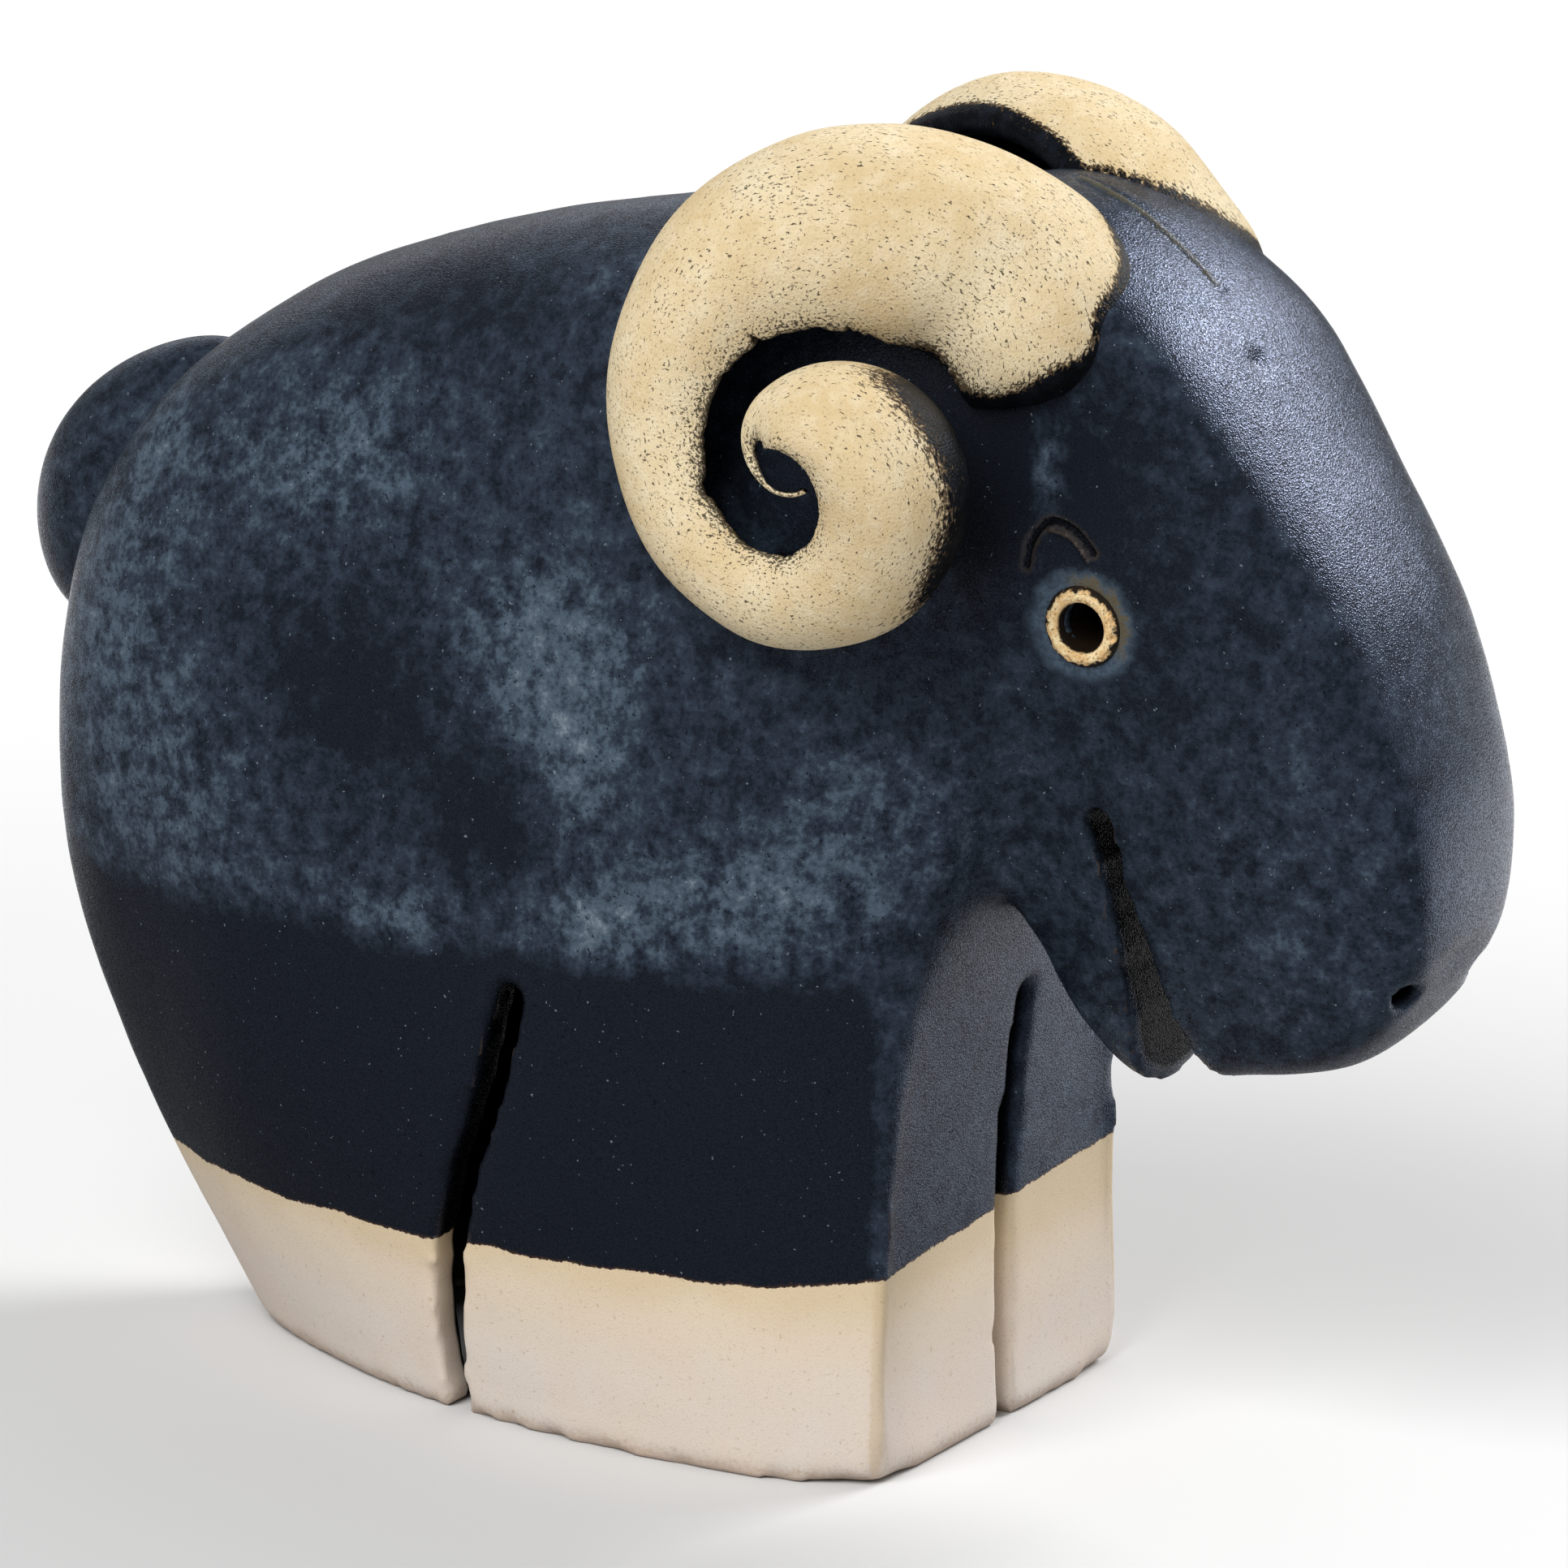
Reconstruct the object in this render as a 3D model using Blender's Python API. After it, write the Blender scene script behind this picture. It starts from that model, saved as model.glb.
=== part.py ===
"""A stylised stoneware ram, built by hand from clay slabs and fired as one hollow piece.

The ram faces +X and stands on z = 0, symmetrical about y = 0. Lengths are in millimetres here
and become metres where a mesh is made.
"""

import math

import bmesh
import bpy
import numpy as np
from mathutils import Vector
from mathutils.bvhtree import BVHTree

MM = 0.001

# Middle of the ram's length, where its origin lies, in the outlines' own x
MIDDLE = -9.4

# Clay wall, and how far the hollow stays out of the jaw
WALL = 8.5
JAW_FILL = 14.0

# Slits cut square through the side walls, the chest and the mouth; the chest's stops short of the jaw
LEG_SLIT_WIDTH = 5.6
CHEST_SLIT_WIDTH = 6.4
CHEST_SLIT_REACH = 52.0
MOUTH_WIDTH = 6.6

# Eye rings, brows and nostrils; places are (x, z) on the side of the head
EYE_PLACE = (71.5, 145.5)
EYE_DIAMETER = 13.5
EYE_HOLE = 7.0
EYE_PROUD = 1.0
BROW_LINE = ((61.3, 153.5), (62.4, 158.5), (66.0, 162.4), (70.5, 161.3), (74.0, 157.8))
BROW_GROOVE = 1.8
NOSTRIL_PLACE = (122.3, 87.3)
NOSTRIL_HOLE = 4.6
NOSTRIL_DEPTH = 9.0

# Horn slab: its thickness at root and tip, and how far its curl wraps round on its outer side
HORN_CENTRE = (32.0, 174.5)
HORN_WALL_ROOT = 6.0
HORN_WALL_TIP = 1.2
HORN_WRAP = 125.0

# Tail pad, a leaf of clay pressed onto the rump, fullest below its middle
TAIL_TOP = (-105.0, 168.0)
TAIL_FOOT = (-140.5, 119.0)
TAIL_STANDS_OUT = 21.0
TAIL_HALF_WIDTH = 15.0
TAIL_FULLEST = 0.55

# Cross-sections from rump to nose, each on the plane through its crown, its foot and the y axis:
# crown x, z; foot x, z; half-width at the crown, the middle and the foot; rounding of crown and foot.
# Feet below z = 0 are cut off at the ground.
SECTIONS = (
    (-134.0, 122, -135.0, 111, 4, 6, 4, 4, 4),
    (-131.0, 136, -133.0, 88, 10, 17, 10, 10, 14),
    (-124.0, 152, -130.0, 60, 15, 27.5, 12, 11, 22),
    (-110.5, 167.5, -122.0, 36, 19, 35, 12, 12, 24),
    (-92.5, 180, -107.0, 8, 20, 41, 8, 14, 12),
    (-76.0, 188, -85.0, -12, 21, 46, 14, 17, 4),
    (-50.0, 196.5, -57.0, -12, 22, 48, 31, 20, 4),
    (-20.0, 202.5, -27.0, -12, 23, 49, 40.5, 22, 5),
    (8.0, 205.8, 3.0, -12, 25, 48, 45.5, 22, 5),
    (28.0, 208.7, 24.0, -12, 27, 45, 45.5, 20, 5),
    (43.0, 211.3, 41.5, -12, 28, 37, 41.5, 16, 4),
    (50.5, 212.3, 41.6, 14, 28, 34, 41, 14, 3.5),
    (58.5, 211.4, 41.0, 40, 28, 32.5, 38, 12, 4),
    (67.5, 208.3, 43.0, 68, 28, 31, 31.5, 11, 5),
    (77.5, 202, 49.0, 92, 28, 29.5, 22, 10, 6),
    (87.0, 194, 55.0, 86, 28, 28.5, 16, 9, 6),
    (94.5, 184.5, 62.0, 73, 27, 27.5, 13, 9, 6),
    (103.0, 172, 71.0, 64.5, 25, 26, 11, 9, 6),
    (110.5, 161, 79.5, 65, 23.5, 24.5, 12, 8.5, 6),
    (117.5, 149, 89.0, 67.5, 22, 23, 13, 8, 7),
    (123.5, 134.5, 99.0, 69, 20, 21, 13, 8, 7),
    (127.7, 120, 108.5, 71.7, 18, 18.5, 13, 7.5, 7),
    (128.4, 107, 116.5, 77.5, 16, 16.5, 13, 7, 6),
    (127.6, 97, 120.5, 83, 12.5, 13, 12, 5.5, 5),
    (125.2, 92, 123.3, 87, 7, 8, 7, 3, 2.5),
)
HOLLOW_FIRST = 2
HOLLOW_LAST = 21
HOLLOW_LEAST = 3.0

# Slits along their middle line from the round top down: across, z, share of the slit's width
LEG_SLIT = (
    (-23.5, 76, 1.0),
    (-28.5, 58, 0.93),
    (-34.5, 42, 0.93),
    (-38.3, 28, 0.93),
    (-39.8, 13, 0.82),
    (-39.6, -4, 0.57),
)
CHEST_SLIT = ((0.0, 73, 1.0), (0.0, -4, 1.0))
MOUTH_SLOT = ((71.8, 111.5, 1.0), (75.8, 93, 1.05), (77.4, 81, 1.33), (79.0, 72, 1.68), (80.0, 58, 1.97))

# Horn from root to tip: turn in degrees round its centre, distance from it, radius of the curled
# slab, distance of its middle from y = 0, degrees that it wraps round on its inner side
HORN = (
    (13, 25.5, 6.5, 18, 60),
    (19, 29, 13, 18.8, 60),
    (26, 31.3, 16.3, 19, 60),
    (34, 31.8, 17.9, 18.6, 60),
    (47, 30.2, 19.3, 19, 58),
    (62.5, 29.2, 20.2, 22.5, 52),
    (98, 28.7, 19.8, 28.5, 41),
    (140, 27.8, 17.2, 34, 35),
    (183, 26.4, 14.2, 39, 50),
    (225, 25, 11.8, 44, 80),
    (270, 22.8, 11, 48, 110),
    (314, 20, 12.5, 51, 125),
    (355, 17, 14.2, 53, 125),
    (395, 11, 12.6, 54.5, 125),
    (440, 6.3, 8.2, 56, 110),
    (475, 5.5, 4.6, 57.5, 90),
    (515, 5.2, 2.4, 58.5, 80),
    (565, 5, 1.8, 59, 70),
    (615, 5.8, 1.6, 59.5, 60),
    (660, 7.4, 1.4, 60, 60),
)

# Mesh density
SECTION_COUNT = 40
HOLLOW_COUNT = 30
CROWN_STEPS = 5
SIDE_STEPS = 8
FOOT_STEPS = 3
HORN_COUNT = 46
HORN_ARC_POINTS = 12
BROW_COUNT = 9
TAIL_COUNT = 11
ROUND_SIDES = 24
FINE_SIDES = 16
BROW_SIDES = 8
SLIT_ARCH_POINTS = 7
SHARP_ANGLE = 35.0

# Cutters reach well past the body
FAR = 200.0
SIDE_REACH = 80.0


def smooth_rows(keys, count):
    """Rows read at even steps along a Catmull-Rom spline through the key rows."""
    keys = np.array(keys, dtype=float)
    padded = np.vstack([2 * keys[0] - keys[1], keys, 2 * keys[-1] - keys[-2]])
    rows = []
    for place in np.linspace(0, len(keys) - 1, count):
        i = min(int(place), len(keys) - 2)
        t = place - i
        a, b, c, d = padded[i : i + 4]
        bend = (2 * a - 5 * b + 4 * c - d) * t**2 + (3 * b - a - 3 * c + d) * t**3
        rows.append(0.5 * (2 * b + (c - a) * t + bend))
    return rows


def section_ring(row):
    """Points round one cross-section: down its near side and back up its far side."""
    crown = Vector((row[0], 0, row[1]))
    foot = Vector((row[2], 0, row[3]))
    shoulder, flank, edge = row[4:7]
    length = (foot - crown).length
    down = (foot - crown).normalized()
    crown_round = min(row[7], 0.45 * length)
    foot_round = min(row[8], 0.45 * length)
    places = []
    for i in range(CROWN_STEPS):
        turn = math.pi / 2 * i / CROWN_STEPS
        places.append((crown_round * (1 - math.cos(turn)), math.sin(turn)))
    for i in range(SIDE_STEPS + 1):
        places.append((crown_round + (length - crown_round - foot_round) * i / SIDE_STEPS, 1.0))
    for i in range(1, FOOT_STEPS + 1):
        turn = math.pi / 2 * (1 - i / FOOT_STEPS)
        places.append((length - foot_round * (1 - math.cos(turn)), math.sin(turn)))
    near = []
    far = []
    for depth, share in places:
        v = depth / length
        width = shoulder * (2 * v - 1) * (v - 1) + flank * 4 * v * (1 - v) + edge * v * (2 * v - 1)
        near.append(crown + down * depth - Vector((0, width * share, 0)))
        far.append(crown + down * depth + Vector((0, width * share, 0)))
    return near + far[-2:0:-1]


def inward(before, after, turn):
    """The unit vector square to the line between two points, pointing into the body."""
    line = np.array(after) - np.array(before)
    return turn * np.array((line[1], -line[0])) / np.linalg.norm(line)


def hollow_section(index):
    """A cross-section of the hollow: the outside moved in by the clay wall, open at the ground."""
    before, row, after = (SECTIONS[i] for i in (index - 1, index, index + 1))
    chest = max(section[2] for section in SECTIONS if section[3] < 0)
    crown = np.array(row[0:2]) + WALL * inward(before[0:2], after[0:2], 1)
    foot = np.array(row[2:4], dtype=float)
    if foot[1] < 0:
        foot[0] = min(foot[0], chest - WALL)
    else:
        foot = foot + WALL * inward(before[2:4], after[2:4], -1)
    if foot[0] > chest:
        foot = foot + JAW_FILL * (crown - foot) / np.linalg.norm(crown - foot)
    widths = [max(width - WALL, HOLLOW_LEAST) for width in row[4:7]]
    rounds = [max(size - WALL, HOLLOW_LEAST) for size in row[7:9]]
    return [*crown, *foot, *widths, *rounds]


def mesh_object(name, mesh, collection):
    """An object in metres from a bmesh in millimetres, with its faces turned outwards."""
    bmesh.ops.translate(mesh, verts=mesh.verts, vec=(-MIDDLE, 0, 0))
    bmesh.ops.scale(mesh, verts=mesh.verts, vec=(MM, MM, MM))
    bmesh.ops.recalc_face_normals(mesh, faces=mesh.faces)
    data = bpy.data.meshes.new(name)
    mesh.to_mesh(data)
    mesh.free()
    made = bpy.data.objects.new(name, data)
    collection.objects.link(made)
    return made


def loft(name, rings, collection):
    """A closed skin through rings of equally many points."""
    mesh = bmesh.new()
    loops = [[mesh.verts.new(point) for point in ring] for ring in rings]
    count = len(loops[0])
    for first, second in zip(loops, loops[1:]):
        for i in range(count):
            j = (i + 1) % count
            mesh.faces.new((first[i], first[j], second[j], second[i]))
    mesh.faces.new(loops[0][::-1])
    mesh.faces.new(loops[-1])
    bmesh.ops.triangulate(mesh, faces=[f for f in mesh.faces if len(f.verts) > 4])
    return mesh_object(name, mesh, collection)


def prism(name, points, push, collection):
    """A flat outline pushed along a vector."""
    mesh = bmesh.new()
    face = mesh.faces.new([mesh.verts.new(point) for point in points])
    pushed = bmesh.ops.extrude_face_region(mesh, geom=[face])
    moved = [v for v in pushed["geom"] if isinstance(v, bmesh.types.BMVert)]
    bmesh.ops.translate(mesh, verts=moved, vec=push)
    return mesh_object(name, mesh, collection)


def rod(name, diameter, middle, direction, length, sides, collection):
    """A round bar with its middle at a point, lying along a direction."""
    mesh = bmesh.new()
    radius = diameter / 2
    bmesh.ops.create_cone(mesh, cap_ends=True, segments=sides, radius1=radius, radius2=radius, depth=length)
    turn = Vector(direction).to_track_quat("Z", "Y").to_matrix()
    bmesh.ops.rotate(mesh, verts=mesh.verts, cent=(0, 0, 0), matrix=turn)
    bmesh.ops.translate(mesh, verts=mesh.verts, vec=middle)
    return mesh_object(name, mesh, collection)


def slit_outline(line, width):
    """(across, z) points round a slit with a round top."""
    across, z, share = line[0]
    radius = width * share / 2
    turns = np.linspace(math.pi, 0, SLIT_ARCH_POINTS)
    outline = [(across + radius * math.cos(turn), z + radius * math.sin(turn)) for turn in turns]
    outline += [(across + width * share / 2, z) for across, z, share in line[1:]]
    outline += [(across - width * share / 2, z) for across, z, share in line[:0:-1]]
    return outline


def horn(name, side, collection):
    """A tapered slab curled into a C and wound round a centre, drifting outwards from the head."""
    rings = []
    rows = smooth_rows(HORN, HORN_COUNT)
    wrap = math.radians(HORN_WRAP)
    for i, (turn, reach, radius, out, inner_wrap) in enumerate(rows):
        angle = math.radians(turn)
        back = Vector((math.cos(angle), 0, math.sin(angle)))
        sideways = Vector((0, side, 0))
        middle = Vector((HORN_CENTRE[0], side * out, HORN_CENTRE[1])) + back * reach
        wall = HORN_WALL_ROOT + (HORN_WALL_TIP - HORN_WALL_ROOT) * i / (len(rows) - 1)
        arc = np.linspace(-math.radians(inner_wrap), wrap, HORN_ARC_POINTS)
        outer = [middle + (back * math.cos(a) + sideways * math.sin(a)) * radius for a in arc]
        inner = [middle + (back * math.cos(a) + sideways * math.sin(a)) * (radius - wall) for a in arc]
        rings.append(outer + inner[::-1])
    return loft(name, rings, collection)


def tail(collection):
    """A leaf-shaped pad of clay with its belly low down."""
    top = Vector((TAIL_TOP[0], 0, TAIL_TOP[1]))
    foot = Vector((TAIL_FOOT[0], 0, TAIL_FOOT[1]))
    down = (foot - top).normalized()
    out = Vector((down.z, 0, -down.x))
    power = math.log(0.5) / math.log(TAIL_FULLEST)
    rings = []
    for share in np.linspace(0, 1, TAIL_COUNT + 2)[1:-1]:
        swell = math.sqrt(math.sin(math.pi * share**power))
        middle = top + (foot - top) * share
        ring = []
        for a in np.linspace(0, 2 * math.pi, FINE_SIDES + 1)[:-1]:
            lift = out * math.cos(a) * TAIL_STANDS_OUT * swell
            ring.append(middle + lift + Vector((0, math.sin(a) * TAIL_HALF_WIDTH * swell, 0)))
        rings.append(ring)
    return loft("tail_pad", rings, collection)


def on_skin(skin, place, side):
    """The skin's point and outward normal at a place (x, z) on one side."""
    x, z = place
    start = Vector(((x - MIDDLE) * MM, side * FAR * MM, z * MM))
    point, normal, _, _ = skin.ray_cast(start, Vector((0, -side, 0)))
    return Vector((x, point.y / MM, z)), normal


def brow(name, skin, side, collection):
    """A groove pressed into the clay above the eye, following the skin."""
    path = [on_skin(skin, place, side)[0] for place in smooth_rows(BROW_LINE, BROW_COUNT)]
    rings = []
    for i, point in enumerate(path):
        along = (path[min(i + 1, len(path) - 1)] - path[max(i - 1, 0)]).normalized()
        across = along.cross(Vector((0, side, 0))).normalized()
        out = across.cross(along)
        turns = np.linspace(0, 2 * math.pi, BROW_SIDES + 1)[:-1]
        groove = BROW_GROOVE / 2
        rings.append([point + groove * (across * math.cos(a) + out * math.sin(a)) for a in turns])
    return loft(name, rings, collection)


def make_body(collection):
    return loft("ram", [section_ring(row) for row in smooth_rows(SECTIONS, SECTION_COUNT)], collection)


def make_hollow(collection):
    keys = [hollow_section(i) for i in range(HOLLOW_FIRST, HOLLOW_LAST + 1)]
    return loft("hollow", [section_ring(row) for row in smooth_rows(keys, HOLLOW_COUNT)], collection)


def make_slits(collection):
    """The leg slits through both flanks, the chest slit and the mouth slot."""
    through = Vector((0, 2 * SIDE_REACH, 0))
    legs = [(x, -SIDE_REACH, z) for x, z in slit_outline(LEG_SLIT, LEG_SLIT_WIDTH)]
    mouth = [(x, -SIDE_REACH, z) for x, z in slit_outline(MOUTH_SLOT, MOUTH_WIDTH)]
    chest = [(0, y, z) for y, z in slit_outline(CHEST_SLIT, CHEST_SLIT_WIDTH)]
    return [
        prism("leg_slits", legs, through, collection),
        prism("chest_slit", chest, Vector((CHEST_SLIT_REACH, 0, 0)), collection),
        prism("mouth", mouth, through, collection),
    ]


def make_ground(collection):
    corners = [(-FAR, -FAR, -FAR), (-FAR, -FAR, 0), (FAR, -FAR, 0), (FAR, -FAR, -FAR)]
    return prism("ground", corners, Vector((0, 2 * FAR, 0)), collection)


def glazed_stoneware():
    material = bpy.data.materials.new("glazed_stoneware")
    material.use_nodes = True
    shader = material.node_tree.nodes["Principled BSDF"]
    shader.inputs["Base Color"].default_value = (0.033, 0.045, 0.062, 1)
    shader.inputs["Roughness"].default_value = 0.45
    shader.inputs["Metallic"].default_value = 0.0
    return material


def finish(body, added, cut):
    """Joins and cuts the fired piece, and shades it smooth up to its cut edges."""
    for tools, operation in ((added, "UNION"), (cut, "DIFFERENCE")):
        for tool in tools:
            step = body.modifiers.new(tool.name, "BOOLEAN")
            step.operation = operation
            step.solver = "EXACT"
            step.object = tool
    whole = bpy.data.meshes.new_from_object(body.evaluated_get(bpy.context.evaluated_depsgraph_get()))
    body.modifiers.clear()
    body.data = whole
    whole.shade_smooth()
    whole.set_sharp_from_angle(angle=math.radians(SHARP_ANGLE))
    whole.materials.clear()
    whole.materials.append(glazed_stoneware())


def main():
    for old in list(bpy.data.objects):
        bpy.data.objects.remove(old)
    figurine = bpy.data.collections.new("ram_figurine")
    tools = bpy.data.collections.new("cutters")
    bpy.context.scene.collection.children.link(figurine)
    bpy.context.scene.collection.children.link(tools)

    body = make_body(figurine)
    skin = BVHTree.FromObject(body, bpy.context.evaluated_depsgraph_get())
    added = [tail(tools)]
    cut = [make_hollow(tools), make_ground(tools), *make_slits(tools)]
    for side, word in ((-1, "right"), (1, "left")):
        added.append(horn(f"horn_{word}", side, tools))
        point, normal = on_skin(skin, EYE_PLACE, side)
        seat = point + normal * (EYE_PROUD - WALL / 2)
        added.append(rod(f"eye_ring_{word}", EYE_DIAMETER, seat, normal, WALL, ROUND_SIDES, tools))
        cut.append(rod(f"eye_hole_{word}", EYE_HOLE, seat, normal, 3 * WALL, ROUND_SIDES, tools))
        cut.append(brow(f"brow_{word}", skin, side, tools))
        point, normal = on_skin(skin, NOSTRIL_PLACE, side)
        cut.append(rod(f"nostril_{word}", NOSTRIL_HOLE, point, normal, 2 * NOSTRIL_DEPTH, FINE_SIDES, tools))
    finish(body, added, cut)
    for tool in tools.objects:
        tool.hide_render = True
        tool.display_type = "WIRE"


main()
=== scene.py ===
"""The stoneware ram as it came out of the kiln: dark satin glaze, bare buff horns and a bare foot.

Lengths are in millimetres until a mesh is finished. The ram faces +X and stands on z = 0.
"""

import math

import bmesh
import bpy
import numpy as np
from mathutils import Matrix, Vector, noise
from mathutils.bvhtree import BVHTree

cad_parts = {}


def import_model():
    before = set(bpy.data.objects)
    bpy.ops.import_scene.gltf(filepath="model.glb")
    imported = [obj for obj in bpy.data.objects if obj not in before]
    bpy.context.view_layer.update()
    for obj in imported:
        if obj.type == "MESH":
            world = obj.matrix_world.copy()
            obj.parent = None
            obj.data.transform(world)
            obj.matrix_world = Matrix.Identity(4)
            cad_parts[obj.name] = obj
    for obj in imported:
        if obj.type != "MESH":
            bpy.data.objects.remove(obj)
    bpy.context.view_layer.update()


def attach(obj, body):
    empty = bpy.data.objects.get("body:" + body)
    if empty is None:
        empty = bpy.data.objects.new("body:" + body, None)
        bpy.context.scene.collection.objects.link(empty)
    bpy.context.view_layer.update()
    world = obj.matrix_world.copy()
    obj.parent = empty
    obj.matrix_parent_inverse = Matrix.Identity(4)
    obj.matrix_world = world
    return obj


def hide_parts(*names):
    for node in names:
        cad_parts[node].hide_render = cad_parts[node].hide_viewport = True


MM = 0.001

# Middle of the ram's length in the outlines' own x
MIDDLE = -9.4

# Clay wall, and how far the hollow stays out of the jaw
WALL = 8.5
JAW_FILL = 14.0

# Cross-sections from rump to nose, each on the plane through its crown, its foot and the y axis:
# crown x, z; foot x, z; half-width at the crown, the middle and the foot; rounding of crown and foot
SECTIONS = (
    (-134.0, 122, -135.0, 111, 4, 6, 4, 4, 4),
    (-131.0, 136, -133.0, 88, 10, 17, 10, 10, 14),
    (-124.0, 152, -130.0, 60, 15, 27.5, 12, 11, 22),
    (-110.5, 167.5, -122.0, 36, 19, 35, 12, 12, 24),
    (-92.5, 180, -107.0, 8, 20, 41, 8, 14, 12),
    (-76.0, 188, -85.0, -12, 21, 46, 14, 17, 4),
    (-50.0, 196.5, -57.0, -12, 22, 48, 31, 20, 4),
    (-20.0, 202.5, -27.0, -12, 23, 49, 40.5, 22, 5),
    (8.0, 205.8, 3.0, -12, 25, 48, 45.5, 22, 5),
    (28.0, 208.7, 24.0, -12, 27, 45, 45.5, 20, 5),
    (43.0, 211.3, 41.5, -12, 28, 37, 41.5, 16, 4),
    (50.5, 212.3, 41.6, 14, 28, 34, 41, 14, 3.5),
    (58.5, 211.4, 41.0, 40, 28, 32.5, 38, 12, 4),
    (67.5, 208.3, 43.0, 68, 28, 31, 31.5, 11, 5),
    (77.5, 202, 49.0, 92, 28, 29.5, 22, 10, 6),
    (87.0, 194, 55.0, 86, 28, 28.5, 16, 9, 6),
    (94.5, 184.5, 62.0, 73, 27, 27.5, 13, 9, 6),
    (103.0, 172, 71.0, 64.5, 25, 26, 11, 9, 6),
    (110.5, 161, 79.5, 65, 23.5, 24.5, 12, 8.5, 6),
    (117.5, 149, 89.0, 67.5, 22, 23, 13, 8, 7),
    (123.5, 134.5, 99.0, 69, 20, 21, 13, 8, 7),
    (127.7, 120, 108.5, 71.7, 18, 18.5, 13, 7.5, 7),
    (128.4, 107, 116.5, 77.5, 16, 16.5, 13, 7, 6),
    (127.6, 97, 120.5, 83, 12.5, 13, 12, 5.5, 5),
    (125.2, 92, 123.3, 87, 7, 8, 7, 3, 2.5),
)
# First and last cross-section that the hollow follows, and its least half-width and rounding
HOLLOW_FIRST = 2
HOLLOW_LAST = 21
HOLLOW_LEAST = 3.0

# Slits along their middle line from the round top down: across, z, width; the chest's leans a little
# to the ram's left and its cutter stops short of the jaw. Their rims are torn by up to some millimetres.
LEG_SLIT = (
    (-23.5, 76, 5.6),
    (-28.5, 58, 5.2),
    (-34.5, 42, 5.2),
    (-38.3, 28, 5.2),
    (-39.8, 13, 4.6),
    (-39.6, -4, 3.2),
)
LEG_TORN = 0.7
CHEST_SLIT = ((4.8, 73, 4.6), (3.7, 50, 4.5), (2.5, 21, 4.5), (1.3, -4, 4.5))
CHEST_SLIT_REACH = 52.0
CHEST_TORN = 0.5
MOUTH_SLOT = (
    (71.8, 111.5, 5.6),
    (73.4, 104.5, 3.6),
    (75.8, 93, 5.6),
    (77.6, 81, 7.8),
    (79.4, 72, 11.0),
    (80.4, 58, 13.4),
)
MOUTH_TORN = 1.1
# Height above which the slits' rims are worked over
RIMS_FROM = 66

# Eyes, brows and nostrils; places are (x, z) on the side of the head
EYE_PLACE = (71.5, 145.5)
EYE_DIAMETER = 13.5
EYE_HOLE = 8.0
# How deep an eye ring's root goes into the wall
EYE_RING_ROOT = 9
BROW_LINE = ((61.9, 154.6), (62.8, 158.8), (66.0, 162.2), (70.3, 161.2), (73.6, 157.8))
BURR_LINE = ((66.3, 160.9), (69.6, 160.1), (71.6, 158.2), (73.0, 156.4))
NOSTRIL_PLACE = (122.3, 87.3)
NOSTRIL_HOLE = 4.6
NOSTRIL_DEPTH = 9.0
# How the nostril's bore leans, beside 1 inwards
NOSTRIL_FORWARD = 0.45
NOSTRIL_UP = 0.1

# Seam down the crown, and the pit in the glaze below it: x, y, z
SEAM_LINE = ((55, 0, 212.2), (63, -2, 210), (73, -3, 205), (82, -4, 198))
PIT_PLACE = (92, -8, 187)

# Horn from root to tip: turn in degrees round its centre, distance from it, radius of the curled
# slab, distance of its middle from y = 0, degrees that it wraps round on its inner side
HORN_CENTRE = (32.0, 174.5)
HORN = (
    (8, 25.5, 6.5, 18, 75),
    (13, 28.2, 14, 18.6, 75),
    (20, 30.6, 17.6, 19, 75),
    (30, 31.4, 18.9, 19, 72),
    (45, 30.3, 19.5, 19, 66),
    (62.5, 29.2, 20.2, 22.5, 55),
    (98, 28.7, 19.8, 28.5, 41),
    (140, 27.8, 17.2, 34, 35),
    (183, 26.4, 14.2, 39, 50),
    (225, 25, 11.8, 44, 80),
    (270, 22.8, 11, 48, 110),
    (314, 20, 12.5, 51, 125),
    (355, 17, 14.2, 53, 125),
    (395, 11, 12.6, 54.5, 125),
    (440, 6.3, 8.2, 56, 110),
    (475, 5.5, 4.6, 57.5, 90),
    (515, 4.6, 2.4, 58.5, 80),
    (556, 3.6, 1.8, 59, 70),
    (600, 3.7, 1.4, 59.5, 60),
    (640, 5.2, 1.2, 59.8, 60),
    (684, 7.9, 1.0, 60, 60),
)
HORN_WALL_ROOT = 6.0
HORN_WALL_TIP = 1.2
HORN_WRAP = 125.0
# Turn at which a chip is out of the rim
HORN_CHIP_TURN = 207.0
# Length of the slab's outer face for each millimetre of its middle line
HORN_STRETCH = 1.6
# How far the horns' skin stays inside their outline on average, so that no lump stands out of it
SHRINK = 0.5

# The body's front corner from the ground up: x, distance from y = 0, z
FRONT_CORNER = ((41.2, 41.3, 0), (41.3, 39.8, 35), (41.0, 36.0, 75), (41.5, 33.5, 95))

# Tail pad, a leaf of clay pressed onto the rump
TAIL_TOP = (-105.0, 168.0)
TAIL_FOOT = (-140.5, 119.0)
TAIL_STANDS_OUT = 20.9
TAIL_HALF_WIDTH = 15.0
TAIL_FULLEST = 0.55

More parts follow.
